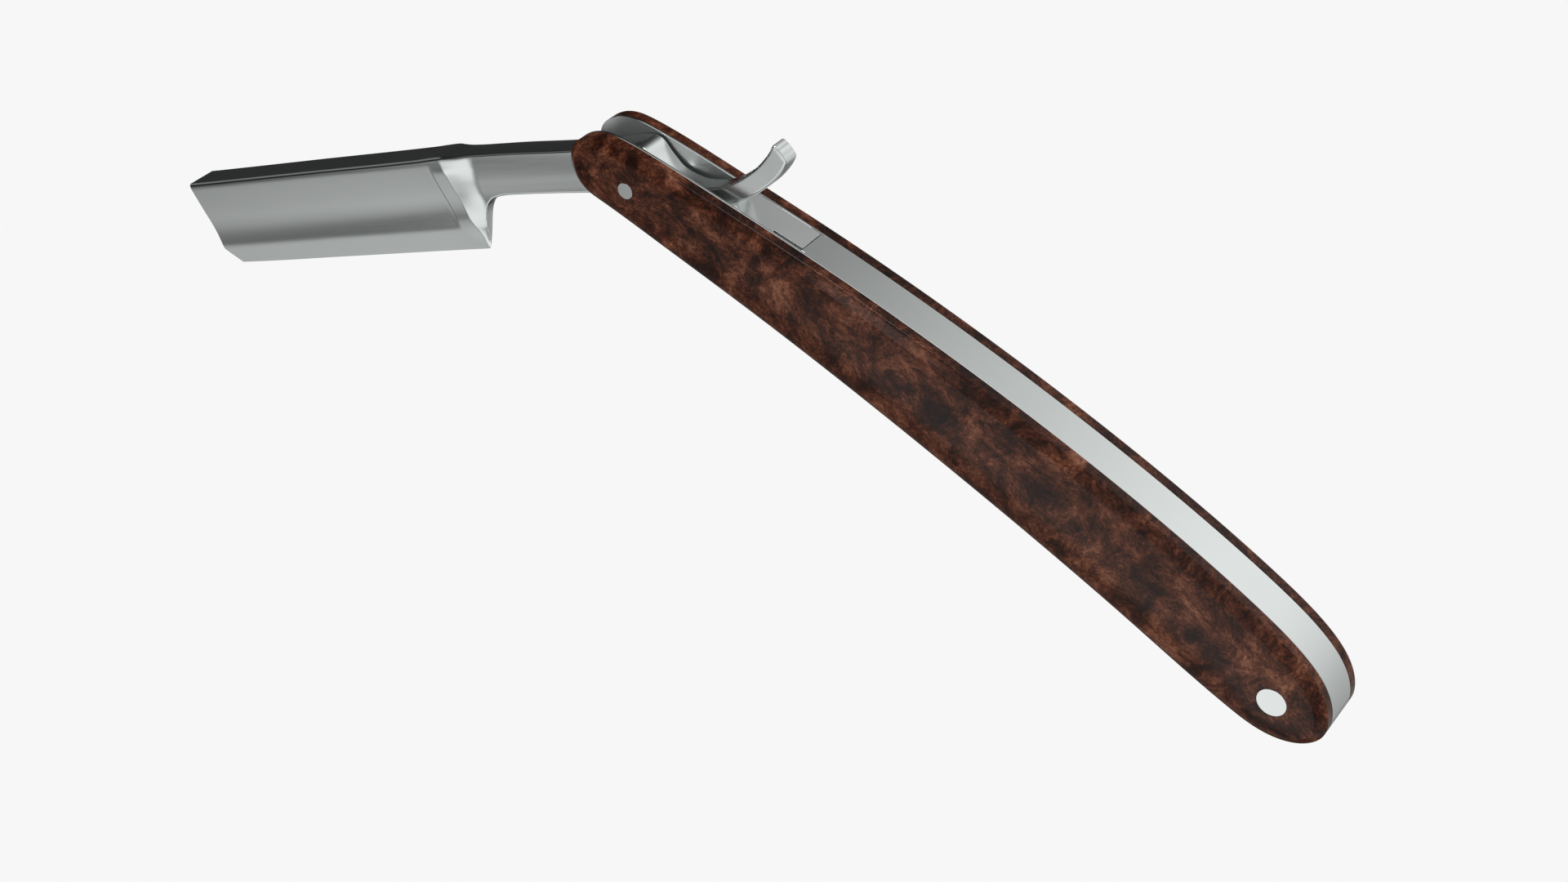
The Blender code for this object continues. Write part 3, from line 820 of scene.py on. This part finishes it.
# The studio's light by the direction it comes from. Each pair is one part of that direction and a strength,
# and the strengths for its X, for its Z and for its Y multiply. Its Y counts differently below and above.
LIGHT_TINT = (0.985, 1.0, 0.995, 1.0)
LIGHT_STRENGTH = 2.5
LIGHT_BY_X = (
    (-1.0, 0.025), (-0.60, 0.03), (-0.48, 0.09), (-0.42, 0.25), (-0.38, 0.295), (-0.346, 0.30), (-0.30, 0.38),
    (-0.258, 0.465), (-0.194, 0.59), (-0.109, 0.71), (-0.016, 0.87), (0.10, 1.0), (0.23, 0.95), (0.5, 0.76),
    (0.7, 0.65), (1.0, 0.5),
)
LIGHT_BY_Z = (
    (-0.6, 0.50), (0.1, 0.46), (0.42, 0.42), (0.475, 0.41), (0.50, 0.37), (0.525, 0.32), (0.545, 0.20),
    (0.56, 0.14), (0.59, 0.14), (0.61, 0.27), (0.64, 0.42), (0.70, 0.455), (0.74, 0.48), (1.0, 0.55),
)
LIGHT_BELOW_BY_Y = ((-1.0, 0.25), (-0.6, 0.30), (-0.457, 0.52), (-0.108, 0.72), (0.46, 0.95), (0.65, 1.0))
LIGHT_ABOVE_BY_Y = ((-0.2, 1.0), (0.25, 0.75), (0.5, 0.6), (1.0, 0.6))
BELOW_TO_ABOVE = (-0.35, -0.02)          # the range of Z over which one gives way to the other
BELOW_FROM_X = (-0.2, 0.1)               # and the range of X over which the lower one starts to count

# The light from the belly's side is cut to a small share, except from above: the ranges of Y and Z over which
# it comes back.
BELLY_SHARE = 0.08
BELLY_Y = (-0.8, -0.6)
BELLY_Z = (-0.10, 0.15)

# A light box overhead: the ranges of X and Z over which it comes in, and of Y over which it goes.
BOX_X = (-0.27, -0.17)
BOX_Z = (0.60, 0.65)
BOX_Y = (-0.35, 0.1)
BOX_STRENGTH = 1.25

# Two narrow windows overhead: the range of rise (Y less Z), the range of X, and a strength. The first one
# lights the scales' edges, and the second one their bevels.
WINDOWS = (
    ((-0.04, 0.0, 0.12, 0.16), (-0.7, -0.6, -0.1, 0.0), 1.3),
    ((-0.40, -0.36, -0.14, -0.10), (-0.335, -0.31, -0.25, -0.17), 3.0),
)
WINDOWS_FROM_Z = (0.40, 0.50)

# Two round soft panels: the direction they are in, the angles where they are full and where they end, and a
# strength.
PANELS = (
    ((-0.93, -0.10, 0.34), 8.0, 16.0, 0.22),
    ((-0.35, 0.93, -0.10), 5.0, 9.5, 30.0),
)

# Surfaces that scatter light get an even light, which only rises towards the handle's back.
EVEN_Y = (-0.2, 0.6)
EVEN_STRENGTH = (0.43, 0.70)

# The camera that took the photograph, as solved from the razor's own shape.
LENS = 57.19
SENSOR_WIDTH = 36.0
CAMERA_RIGHT = (0.76675, 0.32384, -0.55430)
CAMERA_UP = (-0.61564, 0.61558, -0.49200)
CAMERA_PLACE = (0.12573, 0.29113, 0.30842)    # metres


def make_floor():
    """A plain pale floor. It is even and unshaded, and the razor isn't lit by it and doesn't mirror it."""
    made = bpy.data.materials.new("floor_paint")
    made.use_nodes = True
    graph = Graph(made.node_tree)
    graph.tree.nodes.clear()
    glow = graph.add("ShaderNodeEmission", {"Color": PALE, "Strength": 1.0})
    graph.add("ShaderNodeOutputMaterial", {"Surface": glow.outputs[0]})
    bm = bmesh.new()
    bmesh.ops.create_circle(bm, cap_ends=True, segments=96, radius=FLOOR_RADIUS)
    bmesh.ops.translate(bm, verts=bm.verts, vec=(0.0, 0.0, -FLOOR_DROP))
    floor = mesh_object("floor", bm, made)
    floor.visible_glossy = False
    floor.visible_diffuse = False


def mirrored_light(graph, way):
    """The light that the steel mirrors, by its direction: bright over the butt and dark beyond the nose."""
    x, y, z = graph.parts(way)

    def strength_by(part, pairs):
        stops = [((place + 1.0) / 2.0, (strength, strength, strength)) for place, strength in pairs]
        return graph.ramp(graph.fade_in(part, -1.0, 1.0), stops)

    below = strength_by(y, LIGHT_BELOW_BY_Y)
    below = graph.mix(graph.fade_in(x, *BELOW_FROM_X), (1.0, 1.0, 1.0), below)
    side = graph.mix(graph.fade_in(z, *BELOW_TO_ABOVE), below, strength_by(y, LIGHT_ABOVE_BY_Y))
    light = graph.times(graph.times(strength_by(x, LIGHT_BY_X), strength_by(z, LIGHT_BY_Z)), side)
    light = graph.times(light, LIGHT_STRENGTH)
    belly = graph.remap(y, *BELLY_Y, BELLY_SHARE, 1.0)
    light = graph.times(light, graph.math("MAXIMUM", belly, graph.fade_in(z, *BELLY_Z)))

    box = graph.times(graph.fade_in(x, *BOX_X), graph.fade_in(z, *BOX_Z))
    box = graph.times(box, graph.remap(y, *BOX_Y, BOX_STRENGTH, 0.0))
    light = graph.math("MAXIMUM", light, box)

    rise = graph.minus(y, z)
    overhead = graph.fade_in(z, *WINDOWS_FROM_Z)
    for rise_range, x_range, strength in WINDOWS:
        glow = graph.times(graph.window(rise, *rise_range), graph.window(x, *x_range))
        light = graph.math("MAXIMUM", light, graph.times(graph.times(glow, overhead), strength))

    for towards, full, end, strength in PANELS:
        inputs = {0: way, 1: Vector(towards).normalized()}
        facing = graph.add("ShaderNodeVectorMath", inputs, operation="DOT_PRODUCT").outputs["Value"]
        end_cosine, full_cosine = math.cos(math.radians(end)), math.cos(math.radians(full))
        light = graph.plus(light, graph.remap(facing, end_cosine, full_cosine, 0.0, strength))
    return light


def make_world():
    """Soft studio light: shaped for what mirrors it, even for what scatters it, and pale for the camera."""
    world = bpy.data.worlds.new("studio")
    bpy.context.scene.world = world
    world.use_nodes = True
    graph = Graph(world.node_tree)
    graph.tree.nodes.clear()
    way = graph.add("ShaderNodeTexCoord").outputs["Generated"]
    even = graph.remap(graph.parts(way)[1], *EVEN_Y, *EVEN_STRENGTH)
    rays = graph.add("ShaderNodeLightPath").outputs
    light = graph.mix(rays["Is Diffuse Ray"], mirrored_light(graph, way), even)
    background = graph.add("ShaderNodeBackground", {"Color": LIGHT_TINT, "Strength": light}).outputs[0]
    pale = graph.add("ShaderNodeBackground", {"Color": PALE, "Strength": 1.0}).outputs[0]
    mixed = graph.add("ShaderNodeMixShader", {0: rays["Is Camera Ray"], 1: background, 2: pale})
    graph.add("ShaderNodeOutputWorld", {"Surface": mixed.outputs[0]})


def make_camera():
    data = bpy.data.cameras.new("camera")
    data.lens = LENS
    data.sensor_width = SENSOR_WIDTH
    data.clip_start = 0.01
    data.clip_end = 50.0
    camera = bpy.data.objects.new("camera", data)
    right, up = Vector(CAMERA_RIGHT), Vector(CAMERA_UP)
    place = Matrix((right, up, right.cross(up))).transposed().to_4x4()
    place.translation = Vector(CAMERA_PLACE)
    camera.matrix_world = place
    bpy.context.scene.collection.objects.link(camera)
    bpy.context.scene.camera = camera


# ---------------------------------------------------------------- scene


def heights(node):
    """The heights of a CAD piece's lower and upper side, in millimetres."""
    low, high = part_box(node)
    return low.z / MM, high.z / MM


def pin_circle(box):
    """A pin's centre and radius, from its box."""
    low, high = box
    return (low.x + high.x) / 2 / MM, (low.y + high.y) / 2 / MM, (high.x - low.x) / 2 / MM


def make_handle():
    """The visual pieces that ride the handle, each with its material slot."""
    outline = closed_spline(HANDLE_OUTLINE, OUTLINE_STEPS)
    pivot = pin_circle(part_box("pivot_pin"))
    butt = pin_circle(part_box("butt_pin"))
    holes = [(x, y, radius + PIN_HOLE_ROOM) for x, y, radius in (pivot, butt)]
    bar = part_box("back_bar")
    bar_x = bar[0].x / MM
    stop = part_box("stop_plate")
    stop_x = stop[1].x / MM

    near_burl = burl("near_burl")
    far_burl = burl("far_burl", FAR_BURL_OFFSET)
    far_high = heights("far_scale")[1]
    near_low = heights("near_scale")[0]
    far_slot, near_slot = heights("far_liner")[1], heights("near_liner")[0]
    bar_steel = steel("handle_steel", STEEL, roughness=0.15)
    # The liners' slot faces get painted light: a lighter steel colour that brightens the shaded slot.
    far_steel = steel("far_liner_steel", STEEL, roughness=0.13, painted_light_face=far_slot)
    near_steel = steel("near_liner_steel", STEEL, roughness=0.13, painted_light_face=near_slot)
    # The stop plate's steel has painted light: its colour is lighter than the handle steel's.
    plate_steel_painted_light = steel("plate_steel_painted_light", PLATE_PAINTED_LIGHT_STEEL, roughness=0.19)
    pin_steel = steel("pin_steel", STEEL, roughness=0.14)

    return [
        (make_scale("far_scale_burl", "far_scale", outline, far_high, -1.0, holes, far_burl), "scale_burl"),
        (make_scale("near_scale_burl", "near_scale", outline, near_low, 1.0, holes, near_burl), "scale_burl"),
        (make_liner("far_liner_satin", "far_liner", outline, *heights("far_liner"), bar_x, holes,
                    far_steel, outer_is_high=False), "handle_steel"),
        (make_liner("near_liner_satin", "near_liner", outline, *heights("near_liner"), bar_x, holes,
                    near_steel, outer_is_high=True), "handle_steel"),
        (make_back_bar(outline, *heights("back_bar"), bar_x, holes[1:], bar_steel), "handle_steel"),
        (make_stop_plate(outline, *heights("stop_plate"), stop_x, plate_steel_painted_light), "handle_steel"),
        (make_pin("pivot_pin_flush", "pivot_pin", *pivot, *heights("pivot_pin"), pin_steel), "pin_steel"),
        (make_pin("butt_pin_flush", "butt_pin", *butt, *heights("butt_pin"), pin_steel), "pin_steel"),
    ]


def main():
    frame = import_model()

    for piece, slot in make_handle():
        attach(piece, "handle")

    blade_low, blade_high = heights("blade")
    blade_steel = steel("blade_steel", STEEL, roughness=0.15, angle=OPEN_ANGLE, softer_tail=True)
    blade = make_blade((blade_low + blade_high) / 2, blade_steel)
    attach(blade, "blade")

    washer_brass = brass("washer_brass")
    for node in ("far_washer", "near_washer"):
        frame["nodes"][node].data.materials[0] = washer_brass
    dowel_steel = steel("dowel_steel", DOWEL_STEEL, roughness=0.3)
    for node in ("bar_dowel_front", "bar_dowel_middle", "bar_dowel_rear", "stop_dowel"):
        frame["nodes"][node].data.materials[0] = dowel_steel

    make_floor()
    make_world()
    make_camera()
    bpy.context.scene.view_settings.view_transform = "Standard"


main()
